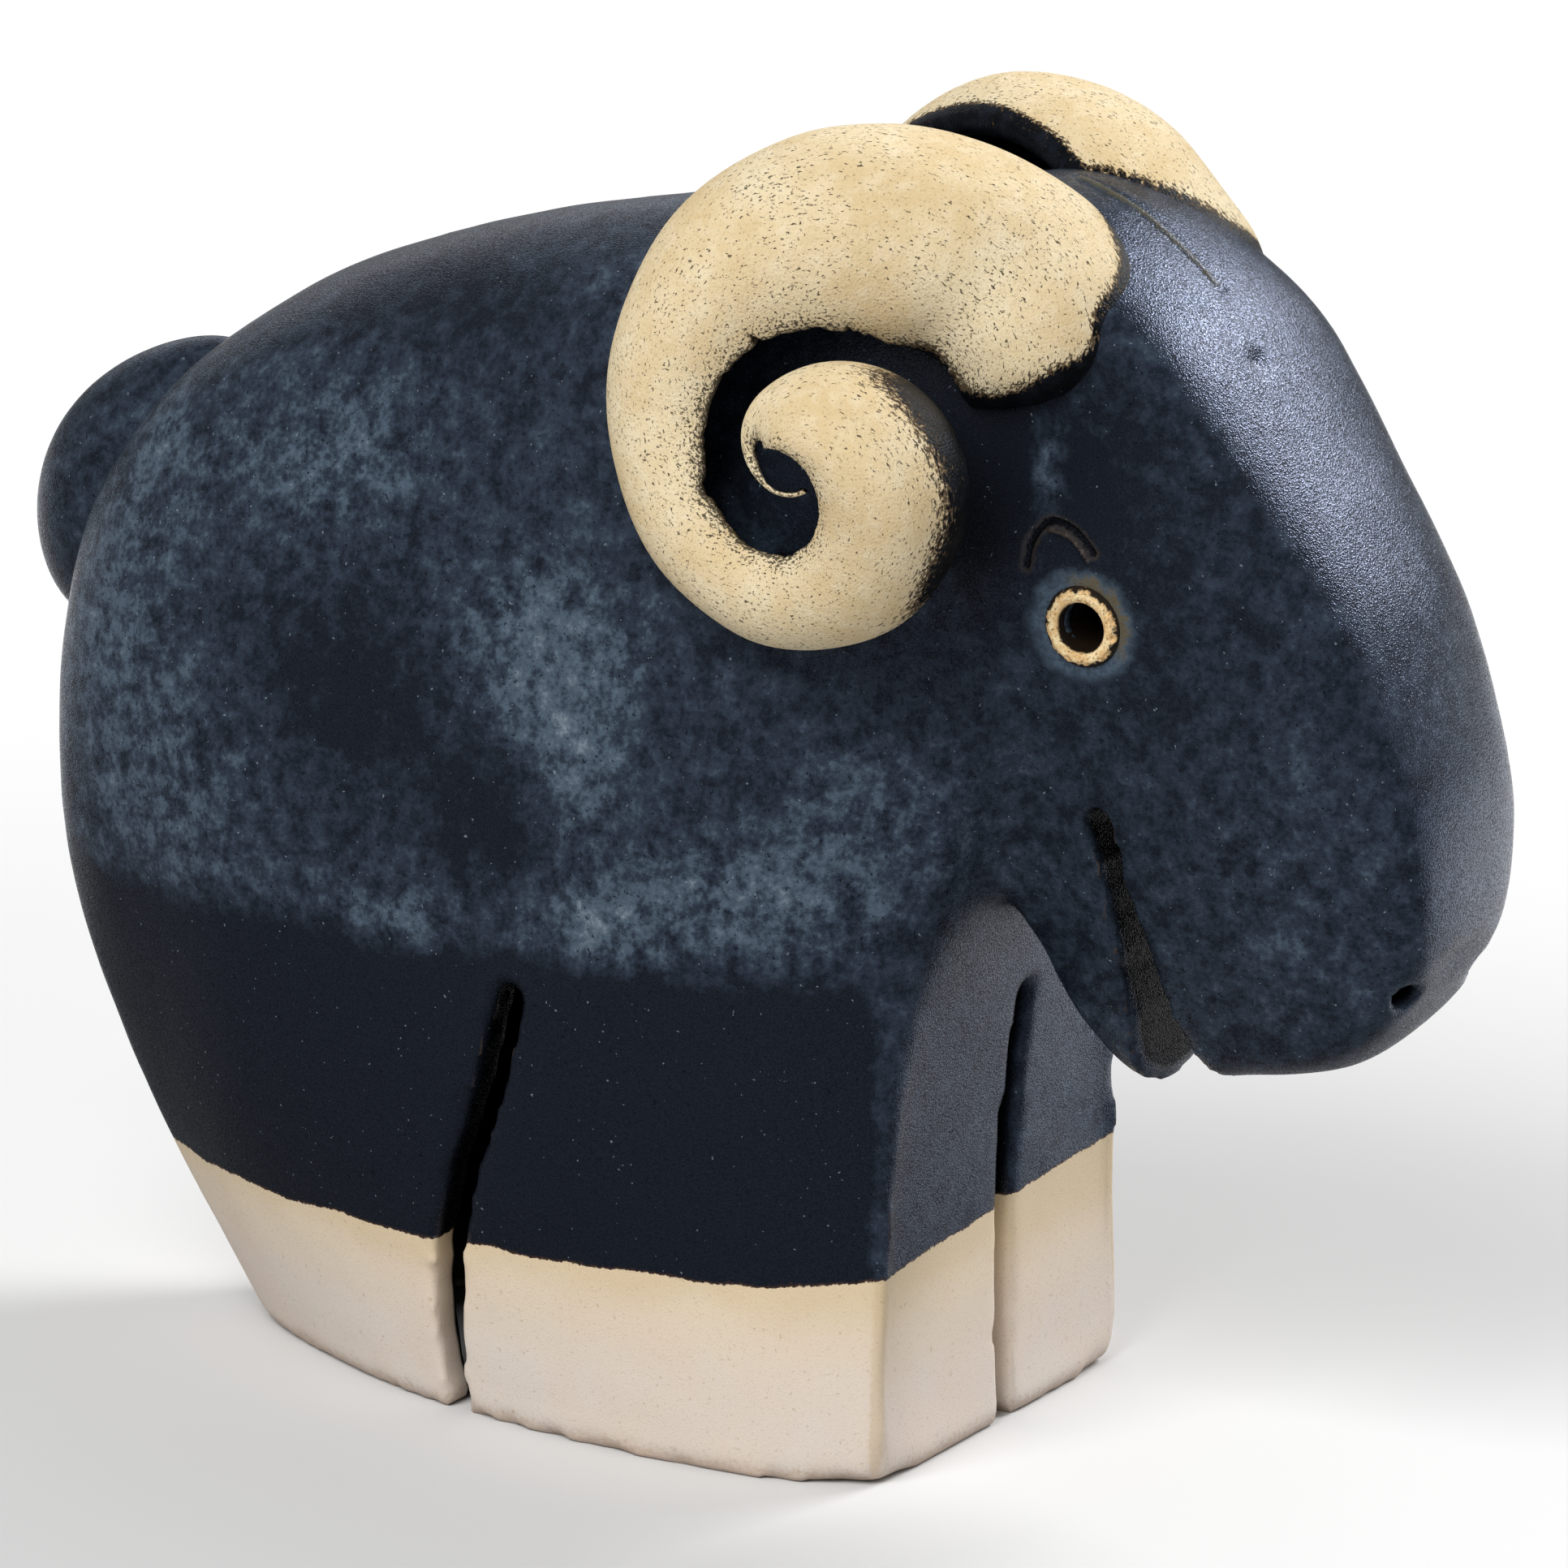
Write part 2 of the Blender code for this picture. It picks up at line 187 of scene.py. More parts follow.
# Cloudy patches of the glaze on both flanks: x, z, width, height, strength. The last two are
# painted shade, darkening the glaze in and beside the horn's coil.
CLOUDS_AND_SHADE = (
    (-20, 133, 16, 15, 1.0),
    (-12, 116, 9, 12, 0.7),
    (-6, 90, 13, 7, 1.0),
    (20, 98, 20, 9, 0.8),
    (38, 112, 14, 12, 0.5),
    (-112, 128, 15, 24, 0.7),
    (-104, 155, 14, 12, 0.5),
    (-95, 98, 22, 20, 0.6),
    (-46, 86, 13, 8, 0.8),
    (-66, 160, 20, 14, 0.7),
    (10, 192, 30, 10, 0.4),
    (-60, 190, 30, 12, -0.4),
    (110, 98, 24, 26, 0.15),
    (65, 171, 4, 8, 1.6),
    (-56, 124, 16, 14, -0.7),
    (-30, 107, 11, 15, -0.6),
    (80, 152, 18, 20, -0.3),
    # the next two: painted shade in and beside the horn's coil
    (60, 170, 17, 15, -1.0),
    (32, 176, 24, 20, -0.9),
)

# The glaze's lower edge as a tilted plane: its normal, and its height in millimetres on the z axis
GLAZE_EDGE = (-0.03, -0.07, 1.0)
GLAZE_EDGE_HEIGHT = 36.1

# The photograph's camera, in pixels, degrees and metres, and the height that it looks at
IMAGE_PIXELS = 1932
FOCAL_PIXELS = 11500
SENSOR_WIDTH = 36
AZIMUTH = 30
ELEVATION = 14
CAMERA_DISTANCE = 1.5525
LOOK_HEIGHT = 0.1046

# Soft lamps, aimed at the ram's middle: name, place and size in metres, watts, seen in the glaze
LAMPS = (
    ("back_right_panel", (0.68, 1.1, 1.1), 0.7, 23, True),
    ("back_left_panel", (-0.9, 1.1, 0.8), 1.0, 2, True),
    ("front_panel", (0.0, -1.3, 1.3), 1.1, 30, False),
)
LAMPS_AIM = (0, 0, 0.1)

# Mesh density
SECTION_COUNT = 110
HOLLOW_COUNT = 60
CROWN_STEPS = 10
SIDE_STEPS = 24
FOOT_STEPS = 5
HORN_COUNT = 300
HORN_ARC_POINTS = 36
RIM_POINTS = 5
SLIT_ROWS = 60
CLAY_GRAIN = 1.5

# A distance well past the ram
FAR = 200.0


def smooth_rows(keys, count):
    """Rows read at even steps along a Catmull-Rom spline through the key rows."""
    keys = np.array(keys, dtype=float)
    padded = np.vstack([2 * keys[0] - keys[1], keys, 2 * keys[-1] - keys[-2]])
    rows = []
    for place in np.linspace(0, len(keys) - 1, count):
        i = min(int(place), len(keys) - 2)
        t = place - i
        a, b, c, d = padded[i : i + 4]
        bend = (2 * a - 5 * b + 4 * c - d) * t**2 + (3 * b - a - 3 * c + d) * t**3
        rows.append(0.5 * (2 * b + (c - a) * t + bend))
    return rows


def section_ring(row):
    """Points round one cross-section: down its near side and back up its far side."""
    crown = Vector((row[0], 0, row[1]))
    foot = Vector((row[2], 0, row[3]))
    shoulder, flank, edge = row[4:7]
    length = (foot - crown).length
    down = (foot - crown).normalized()
    crown_round = min(row[7], 0.45 * length)
    foot_round = min(row[8], 0.45 * length)
    places = []
    for i in range(CROWN_STEPS):
        turn = math.pi / 2 * i / CROWN_STEPS
        places.append((crown_round * (1 - math.cos(turn)), math.sin(turn)))
    for i in range(SIDE_STEPS + 1):
        places.append((crown_round + (length - crown_round - foot_round) * i / SIDE_STEPS, 1.0))
    for i in range(1, FOOT_STEPS + 1):
        turn = math.pi / 2 * (1 - i / FOOT_STEPS)
        places.append((length - foot_round * (1 - math.cos(turn)), math.sin(turn)))
    near = []
    far = []
    for depth, share in places:
        v = depth / length
        width = shoulder * (2 * v - 1) * (v - 1) + flank * 4 * v * (1 - v) + edge * v * (2 * v - 1)
        near.append(crown + down * depth - Vector((0, width * share, 0)))
        far.append(crown + down * depth + Vector((0, width * share, 0)))
    return near + far[-2:0:-1]


def inward(before, after, turn):
    """The unit vector square to the line between two points, pointing into the body."""
    line = np.array(after) - np.array(before)
    return turn * np.array((line[1], -line[0])) / np.linalg.norm(line)


def hollow_section(index):
    """A cross-section of the hollow: the outside moved in by the clay wall, open at the ground."""
    before, row, after = (SECTIONS[i] for i in (index - 1, index, index + 1))
    chest = max(section[2] for section in SECTIONS if section[3] < 0)
    crown = np.array(row[0:2]) + WALL * inward(before[0:2], after[0:2], 1)
    foot = np.array(row[2:4], dtype=float)
    if foot[1] < 0:
        foot[0] = min(foot[0], chest - WALL)
        foot[1] -= 1
    else:
        foot = foot + WALL * inward(before[2:4], after[2:4], -1)
    if foot[0] > chest:
        foot = foot + JAW_FILL * (crown - foot) / np.linalg.norm(crown - foot)
    widths = [max(width - WALL, HOLLOW_LEAST) for width in row[4:7]]
    rounds = [max(size - WALL, HOLLOW_LEAST) for size in row[7:9]]
    return [*crown, *foot, *widths, *rounds]


def add_ring(mesh, points):
    """A closed loop of edges."""
    corners = [mesh.verts.new(point) for point in points]
    return [mesh.edges.new((a, b)) for a, b in zip(corners, corners[1:] + corners[:1])]


def loft(rings):
    """A skin bridged from ring to ring and closed at both ends."""
    mesh = bmesh.new()
    loops = [add_ring(mesh, ring) for ring in rings]
    for first, second in zip(loops, loops[1:]):
        bmesh.ops.bridge_loops(mesh, edges=first + second)
    for end in (loops[0], loops[-1]):
        bmesh.ops.contextual_create(mesh, geom=end)
    bmesh.ops.recalc_face_normals(mesh, faces=mesh.faces)
    return mesh


def prism(points, push):
    """A flat outline pushed along a vector."""
    mesh = bmesh.new()
    face = mesh.faces.new([mesh.verts.new(point) for point in points])
    pushed = bmesh.ops.extrude_face_region(mesh, geom=[face])
    moved = [v for v in pushed["geom"] if isinstance(v, bmesh.types.BMVert)]
    bmesh.ops.translate(mesh, verts=moved, vec=push)
    bmesh.ops.recalc_face_normals(mesh, faces=mesh.faces)
    return mesh


def rod(diameter, middle, direction, length):
    """A round bar with its middle at a point, lying along a direction."""
    mesh = bmesh.new()
    radius = diameter / 2
    bmesh.ops.create_cone(mesh, cap_ends=True, segments=32, radius1=radius, radius2=radius, depth=length)
    turn = Vector(direction).to_track_quat("Z", "Y").to_matrix()
    bmesh.ops.rotate(mesh, verts=mesh.verts, cent=(0, 0, 0), matrix=turn)
    bmesh.ops.translate(mesh, verts=mesh.verts, vec=middle)
    return mesh


def place(name, mesh):
    """An object at the origin from a bmesh in millimetres."""
    bmesh.ops.translate(mesh, verts=mesh.verts, vec=(-MIDDLE, 0, 0))
    bmesh.ops.scale(mesh, verts=mesh.verts, vec=(MM, MM, MM))
    data = bpy.data.meshes.new(name)
    mesh.to_mesh(data)
    mesh.free()
    made = bpy.data.objects.new(name, data)
    bpy.context.scene.collection.objects.link(made)
    return made


def settle(made):
    """The object's modifiers become its mesh."""
    whole = bpy.data.meshes.new_from_object(made.evaluated_get(bpy.context.evaluated_depsgraph_get()))
    made.modifiers.clear()
    old = made.data
    made.data = whole
    bpy.data.meshes.remove(old)


def slit_outline(line, torn):
    """(across, z) points round a slit with a round top, its edges torn by up to some millimetres."""
    rows = smooth_rows(line, SLIT_ROWS)
    across, z, width = rows[0]
    outline = []
    for turn in np.linspace(math.pi, 0, 13):
        outline.append((across + width / 2 * math.cos(turn), z + width / 2 * math.sin(turn)))
    right = []
    left = []
    for across, z, width in rows[1:]:
        right.append((across + width / 2 + torn * noise.noise((across, z / 3.5, 1.5)), z))
        left.append((across - width / 2 + torn * noise.noise((across, z / 3.5, 9.5)), z))
    return outline + right + left[::-1]


def on_skin(skin, spot, side):
    """The skin's point and outward normal at a place (x, z) on one side."""
    x, z = spot
    point, normal, _, _ = skin.ray_cast(Vector((x, side * FAR, z)), Vector((0, -side, 0)))
    return point, normal


def hollow_skin():
    """The skin of the space inside the ram."""
    keys = [hollow_section(i) for i in range(HOLLOW_FIRST, HOLLOW_LAST + 1)]
    return loft([section_ring(row) for row in smooth_rows(keys, HOLLOW_COUNT)])


def rims_of(skin, outline):
    """A slit's upper edge on each side of the ram, as lines on the skin."""
    rims = []
    for side in (-1, 1):
        spots = [on_skin(skin, spot, side)[0] for spot in outline if spot[1] > RIMS_FROM]
        rims.append([spot for spot in spots if spot is not None])
    return rims


def front_corners():
    """The two upright corners where flank and chest slabs meet, as lines."""
    return [[(x, side * y, z) for x, y, z in FRONT_CORNER] for side in (-1, 1)]


def tree_of(data):
    """A search tree of a mesh in millimetres."""
    polygons = [tuple(polygon.vertices) for polygon in data.polygons]
    return BVHTree.FromPolygons([Vector(point) for point in points_of(data)], polygons)


def gaps(tree, points):
    """Each point's distance to a tree's surface."""
    return np.array([tree.find_nearest(Vector(point))[3] for point in points])


def side_slit(line, torn):
    """A cutter through both flanks, or through both cheeks."""
    outline = slit_outline(line, torn)
    return prism([(x, -FAR / 2, z) for x, z in outline], (0, FAR, 0))


def cutters(skin):
    """Everything cut out of the fired body: the hollow, what is below the ground, slits and holes."""
    ground = ((-FAR, -FAR, 0), (-FAR, FAR, 0), (FAR, FAR, 0), (FAR, -FAR, 0))
    chest = [(0, y, z) for y, z in slit_outline(CHEST_SLIT, CHEST_TORN)]
    tools = [hollow_skin(), prism(ground, (0, 0, -FAR))]
    tools += [side_slit(LEG_SLIT, LEG_TORN), side_slit(MOUTH_SLOT, MOUTH_TORN)]
    tools.append(prism(chest, (CHEST_SLIT_REACH, 0, 0)))
    for side in (-1, 1):
        point, normal = on_skin(skin, EYE_PLACE, side)
        tools.append(rod(EYE_HOLE, point, normal, 3 * WALL))
        point, normal = on_skin(skin, NOSTRIL_PLACE, side)
        inwards = normal + Vector((NOSTRIL_FORWARD, side, NOSTRIL_UP))
        tools.append(rod(NOSTRIL_HOLE, point, inwards, 2 * NOSTRIL_DEPTH))
    return tools


def points_of(data):
    """A mesh's points in millimetres, in the outlines' own x."""
    flat = np.empty(3 * len(data.vertices))
    data.vertices.foreach_get("co", flat)
    return flat.reshape(-1, 3) / MM + (MIDDLE, 0, 0)


def normals_of(data):
    """A mesh's outward normals at its points."""
    flat = np.empty(3 * len(data.vertices))
    data.vertex_normals.foreach_get("vector", flat)
    return flat.reshape(-1, 3)


def move_points(data, points):
    """Puts a mesh's points where they are given in millimetres."""
    data.vertices.foreach_set("co", ((points - (MIDDLE, 0, 0)) * MM).ravel())
    data.update()


def paint(data, name, values):
    """A value at each point of a mesh, for its material to read."""
    layer = data.attributes.new(name, "FLOAT", "POINT")
    layer.data.foreach_set("value", np.asarray(values, dtype=np.float32))


def smoothly(low, high, values):
    """0 below low, 1 above high and an easy climb between."""
    share = np.clip((values - low) / (high - low), 0, 1)
    return share * share * (3 - 2 * share)


def reach_to(points, line):
    """Each point's distance to a line of straight pieces."""
    best = np.full(len(points), np.inf)
    for start, end in zip(line, line[1:]):
        start = np.array(start)
        step = np.array(end) - start
        share = np.clip(((points - start) @ step) / (step @ step), 0, 1)
        best = np.minimum(best, np.linalg.norm(points - start - share[:, None] * step, axis=1))
    return best


def reach_to_any(points, lines):
    """Each point's distance to the nearest of some lines."""
    return np.min([reach_to(points, line) for line in lines], axis=0)


def ridge(away, height, reach, crest=0.0):
    """A rounded ridge beside a line, or a groove where its height is below 0."""
    return height * np.exp(-(((away - crest) / reach) ** 2))


def waves(points, size, seed):
    """Smooth hand-made unevenness from -1 to 1, as wide as a size in millimetres."""
    return np.array([noise.noise(Vector(point) / size + Vector((seed, 0, 0))) for point in points])


def refine(data, lines, reach, cuts):
    """Finer faces within a reach of some lines."""
    mesh = bmesh.new()
    mesh.from_mesh(data)
    points = points_of(data)
    close = reach_to_any(points, lines) < reach
    edges = [edge for edge in mesh.edges if close[edge.verts[0].index] and close[edge.verts[1].index]]
    bmesh.ops.subdivide_edges(mesh, edges=edges, cuts=cuts, use_grid_fill=True)
    mesh.to_mesh(data)
    mesh.free()


def sharpness(data):
    """How sharply the skin turns at each point: about 1 on a clay edge, below 0 in a groove."""
    points = points_of(data)
    normals = normals_of(data)
    pairs = np.empty(2 * len(data.edges), dtype=int)
    data.edges.foreach_get("vertices", pairs)
    first, second = pairs.reshape(-1, 2).T
    span = points[second] - points[first]
    length = np.einsum("ij,ij->i", span, span)
    count = np.zeros(len(points))
    turn = np.zeros(len(points))
    for here, sign in ((first, 1), (second, -1)):
        np.add.at(count, here, 1)
        np.add.at(turn, here, -sign * np.einsum("ij,ij->i", span, normals[here]) / length)
    turn = turn / np.maximum(count, 1)
    for _ in range(2):
        spread = np.zeros(len(points))
        np.add.at(spread, first, turn[second])
        np.add.at(spread, second, turn[first])
        turn = 0.5 * turn + 0.5 * spread / np.maximum(count, 1)
    return turn / 0.12


def make_body(tail):
    """The hollow body with its slits, its edges softened as wet clay's are."""
    outside = loft([section_ring(row) for row in smooth_rows(SECTIONS, SECTION_COUNT)])
    skin = BVHTree.FromBMesh(outside)
    tools = [place("cutter", tool) for tool in cutters(skin)]
    body = place("ram_body", outside)
    for tool in tools:
        step = body.modifiers.new("cut", "BOOLEAN")
        step.operation = "DIFFERENCE"
        step.solver = "MANIFOLD"
        step.object = tool
    soften = body.modifiers.new("soften", "REMESH")
    soften.mode = "VOXEL"
    soften.voxel_size = CLAY_GRAIN * MM
    rub(body, "rub", 3)
    settle(body)
    for tool in tools:
        bpy.data.objects.remove(tool)
    thin_and_wear(body)
    body.data.materials.clear()
    shade(body)
    finish_skin(body.data, skin, tree_of(tail.data))
    return body, skin


def rub(made, name, times):
    """Wears a piece's edges down by smoothing it a number of times."""
    step = made.modifiers.new(name, "SMOOTH")
    step.factor = 0.5
    step.iterations = times
    return step


def shade(made):
    """Smooth shading with one material throughout."""
    made.data.polygons.foreach_set("material_index", np.zeros(len(made.data.polygons), dtype=np.int32))
    made.data.shade_smooth()


def thin_and_wear(body):
    """Fewer faces on the hidden wall of the hollow, and the front corners rounded at the foot and
    higher up, under the neck."""
    hollow = BVHTree.FromBMesh(hollow_skin())
    points = points_of(body.data)
    inside = body.vertex_groups.new(name="inside")
    worn = body.vertex_groups.new(name="worn")
    found = [hollow.find_nearest(Vector(point), 1.0)[0] for point in points]
    inside.add([i for i, spot in enumerate(found) if spot is not None], 1.0, "REPLACE")
    height = points[:, 2]
    at_foot = smoothly(9, 2, height)
    under_neck = 0.9 * smoothly(28, 60, height)
    share = smoothly(14, 7, reach_to_any(points, front_corners())) * np.maximum(at_foot, under_neck)
    share *= smoothly(105, 85, height)
    for i in np.flatnonzero(share > 0.02):
        worn.add([int(i)], float(share[i]), "REPLACE")
    rub(body, "wear", 30).vertex_group = "worn"
    thin = body.modifiers.new("thin", "DECIMATE")
    thin.ratio = 0.6
    thin.vertex_group = "inside"
    settle(body)


def finish_skin(data, skin, tail):
    """Hand-made unevenness, pressed lines and the values that the glaze reads."""
    brows = []
    burrs = []
    for side in (-1, 1):
        brows.append([on_skin(skin, spot, side)[0] for spot in smooth_rows(BROW_LINE, 14)])
        burrs.append([on_skin(skin, spot, side)[0] for spot in smooth_rows(BURR_LINE, 10)])
    seam = [Vector(point) for point in smooth_rows(SEAM_LINE, 16)]
    mouth = rims_of(skin, slit_outline(MOUTH_SLOT, MOUTH_TORN))
    legs = rims_of(skin, slit_outline(LEG_SLIT, LEG_TORN))
    refine(data, brows, 3.0, 2)
    refine(data, [seam], 3.0, 2)
    refine(data, mouth, 1.9, 1)
    refine(data, legs, 3.5, 1)

    points = points_of(data)
    normals = normals_of(data)
    height = points[:, 2]
    from_brow = reach_to_any(points, brows)
    from_burr = reach_to_any(points, burrs)
    from_leg = reach_to_any(points, legs)
    from_joint = reach_to_any(points, front_corners())
    from_seam = reach_to(points, seam)
    from_pit = np.linalg.norm(points - PIT_PLACE, axis=1)
    lift = 0.3 * waves(points, 34, 3.0) + 0.12 * waves(points, 9, 8.0) - 0.2
    lift *= smoothly(0, 6, height)
    lift += ridge(from_brow, -1.0, 0.5)
    lift += ridge(from_burr, 0.7, 0.45)
    lift += ridge(from_leg, 0.5, 0.9, 1.4) * smoothly(68, 76, height)
    lift += ridge(from_joint, -0.25, 0.6, 0.9) * smoothly(40, 30, height)
    lift += ridge(from_seam, 0.35, 0.7) + ridge(from_seam, -0.3, 0.7, 1.3)
    lift += ridge(from_pit, -1.1, 1.8)
    upright = smoothly(0.0, 0.5, np.hypot(normals[:, 0], normals[:, 1]))
    crumbled = np.clip(waves(points, 3.2, 5.0) + waves(points, 9, 2.0), 0, 2)
    lift -= smoothly(4.5, 0, height) * upright * (0.35 + 0.5 * crumbled)
    points = points + normals * lift[:, None]
    points[:, 2] = np.maximum(points[:, 2], 0)
    move_points(data, points)

    eyes = [np.linalg.norm(points - on_skin(skin, EYE_PLACE, side)[0], axis=1) for side in (-1, 1)]
    from_eye = np.min(eyes, axis=0)
    uphill = (points[:, 0] - EYE_PLACE[0]) * 0.8 + (points[:, 2] - EYE_PLACE[1]) * 0.6
    paint(data, "edge", sharpness(data))
    paint(data, "cloud_and_shade", cloud_and_shade_strength(points))
    paint(data, "from_eye", from_eye)
    paint(data, "crust", smoothly(0.1, 0.7, uphill / np.maximum(from_eye, 1)))
    paint(data, "from_seam", from_seam)
    paint(data, "from_brow", from_brow)
    paint(data, "from_burr", from_burr)
    paint(data, "from_mouth", reach_to_any(points, mouth))
    paint(data, "from_joint", from_joint)
    paint(data, "from_tail", gaps(tail, points))
    paint(data, "deep", gaps(skin, points))


def cloud_and_shade_strength(points):
    """Where the glaze went cloudy: the patches on the flanks, and none low down behind the chest;
    lowered as painted shade in and beside the horn's coil.
    """
    strength = np.zeros(len(points))
    for x, z, wide, high, weight in CLOUDS_AND_SHADE:
        across = (points[:, 0] - x) / wide
        upwards = (points[:, 2] - z) / high
        strength += weight * np.exp(-(across**2) - upwards**2)
    return strength - 1.5 * smoothly(88, 74, points[:, 2]) * smoothly(41, 37, points[:, 0])


def horn_rims(turn, inner_wrap):
    """Angles of the curled slab's inner rim, and of its outer rim with its tears, nicks and chip."""
    ragged = 2 * noise.noise((turn / 12, 8, 0.4)) + 1.6 * noise.noise((turn / 3.5, 8, 2.4))
    nick = 11 * max(0.0, noise.noise((turn / 4.5, 3, 6.1)) - 0.12)
    chip = 4 * math.exp(-(((turn - HORN_CHIP_TURN) / 6) ** 2))
    return -math.radians(inner_wrap), math.radians(HORN_WRAP - 2 + ragged - nick - chip)


def horn_ring(middle, back, sideways, radius, wall, first, last):
    """Points round the curled slab: its outer face, a rounded rim, its inner face and the other rim."""
    arc = np.linspace(first, last, HORN_ARC_POINTS)
    spokes = [back * math.cos(a) + sideways * math.sin(a) for a in arc]
    outer = []
    for spoke in spokes:
        lump = 0.5 * noise.noise((middle + spoke * radius) / 16) - SHRINK
        outer.append(middle + spoke * (radius + lump))
    inner = [middle + spoke * (radius - SHRINK - wall) for spoke in spokes]
    rims = []
    for a, turn_way in ((last, 1), (first, -1)):
        spoke = back * math.cos(a) + sideways * math.sin(a)
        onward = (sideways * math.cos(a) - back * math.sin(a)) * turn_way
        rim = []
        for step in np.linspace(0, math.pi, RIM_POINTS + 2)[1:-1]:
            lift = math.cos(step) * wall / 2
            bulge = onward * (0.35 * wall * math.sin(step))
            rim.append(middle + spoke * (radius - SHRINK - wall / 2 + lift) + bulge)
        rims.append(rim)
    return outer + rims[0] + inner[::-1] + rims[1][::-1]


def slab_marks(along, turn, radius, first, last):
    """For each point of a ring: its place along and across the flat slab, how far it is over the rim,
    the horn's turn and the distance from the inner rim."""
    arc = np.linspace(first, last, HORN_ARC_POINTS)
    over = range(1, RIM_POINTS + 1)
    marks = [(along, a * radius, 0.0, turn, (a - first) * radius) for a in arc]
    marks += [(along, last * radius + k, k / RIM_POINTS, turn, FAR) for k in over]
    marks += [(along, a * radius + 40, 1.0, turn, FAR) for a in arc[::-1]]
    marks += [(along, first * radius - k, k / RIM_POINTS, turn, 0.0) for k in reversed(over)]
    return marks


def make_horn(name, side, skin):
    """A tapered slab curled into a C and wound round a centre, drifting outwards from the head."""
    rings = []
    marks = []
    along = 0.0
    before = None
    sideways = Vector((0, side, 0))
    for i, (turn, reach, radius, out, inner_wrap) in enumerate(smooth_rows(HORN, HORN_COUNT)):
        angle = math.radians(turn)
        back = Vector((math.cos(angle), 0, math.sin(angle)))
        middle = Vector((HORN_CENTRE[0], side * out, HORN_CENTRE[1])) + back * reach
        along += (middle - before).length * HORN_STRETCH if before else 0.0
        before = middle
        wall = HORN_WALL_ROOT + (HORN_WALL_TIP - HORN_WALL_ROOT) * i / (HORN_COUNT - 1)
        first, last = horn_rims(turn, inner_wrap)
        rings.append(horn_ring(middle, back, sideways, radius, wall, first, last))
        marks += slab_marks(along, turn, radius, first, last)
    horn = place(name, loft(rings))
    shade(horn)
    paint_horn(horn.data, side, skin, np.array(marks))
    return horn


def paint_horn(data, side, skin, marks):
    """Where the clay lies on its slab, how near its rim is, where the body's glaze laps onto it, and
    where the curl faces the head, partly glaze and partly painted shade.
    """
    layer = data.attributes.new("slab", "FLOAT_VECTOR", "POINT")
    layer.data.foreach_set("vector", (marks[:, :3] * (MM, MM, 0)).astype(np.float32).ravel())
    normals = normals_of(data)
    gap = gaps(skin, points_of(data))
    across, over, turn, from_inner = marks[:, 1:].T
    curl = smoothly(290, 330, turn) * smoothly(460, 430, turn)
    inwards = smoothly(0.62, 0.0, side * normals[:, 1])
    # Partly glaze, partly painted shade: dark where the curl's outer face turns towards the head
    towards_head = inwards * smoothly(-0.1, 0.75, normals[:, 0]) * curl
    lap = 1.8 * smoothly(8.0, 1.0, gap) * smoothly(75, 50, turn) * smoothly(0.0, -0.6, normals[:, 2])
    between = smoothly(3.6, 1.2, from_inner) * smoothly(55, 70, turn) * smoothly(160, 135, turn)
    seat = 0.9 * smoothly(1.6, 0.2, gap) * smoothly(300, 200, turn)
    paint(data, "glaze_and_shade", np.clip(over + (towards_head + lap + between + seat), 0, 1))
    from_rim = np.abs(across - np.radians(HORN_WRAP) * radius_at(turn))
    paint(data, "rim", smoothly(5, 0, np.minimum(from_rim, 9)))


def radius_at(turns):
    """The curled slab's radius at each turn."""
    keys = np.array(HORN, dtype=float)
    return np.interp(turns, keys[:, 0], keys[:, 2])


def make_tail():
    """A leaf-shaped pad of clay with its belly low down."""
    top = Vector((TAIL_TOP[0], 0, TAIL_TOP[1]))
    foot = Vector((TAIL_FOOT[0], 0, TAIL_FOOT[1]))
    down = (foot - top).normalized()
    out = Vector((down.z, 0, -down.x))
    power = math.log(0.5) / math.log(TAIL_FULLEST)
    rings = []
    for step in np.linspace(0, math.pi, 62)[1:-1]:
        share = (1 - math.cos(step)) / 2
        swell = math.sqrt(math.sin(math.pi * share**power))
        middle = top + (foot - top) * share
        ring = []
        for a in np.linspace(0, 2 * math.pi, 65)[:-1]:
            lift = out * math.cos(a) * TAIL_STANDS_OUT * swell
            ring.append(middle + lift + Vector((0, math.sin(a) * TAIL_HALF_WIDTH * swell, 0)))
        rings.append(ring)
    tail = place("tail_pad", loft(rings))
    shade(tail)
    count = len(tail.data.vertices)
    for name in ("edge", "crust", "deep"):
        paint(tail.data, name, np.zeros(count))
    for name in ("eye", "seam", "brow", "burr", "mouth", "joint", "tail"):
        paint(tail.data, f"from_{name}", np.full(count, FAR))
    paint(tail.data, "cloud_and_shade", np.full(count, 0.1))
    return tail


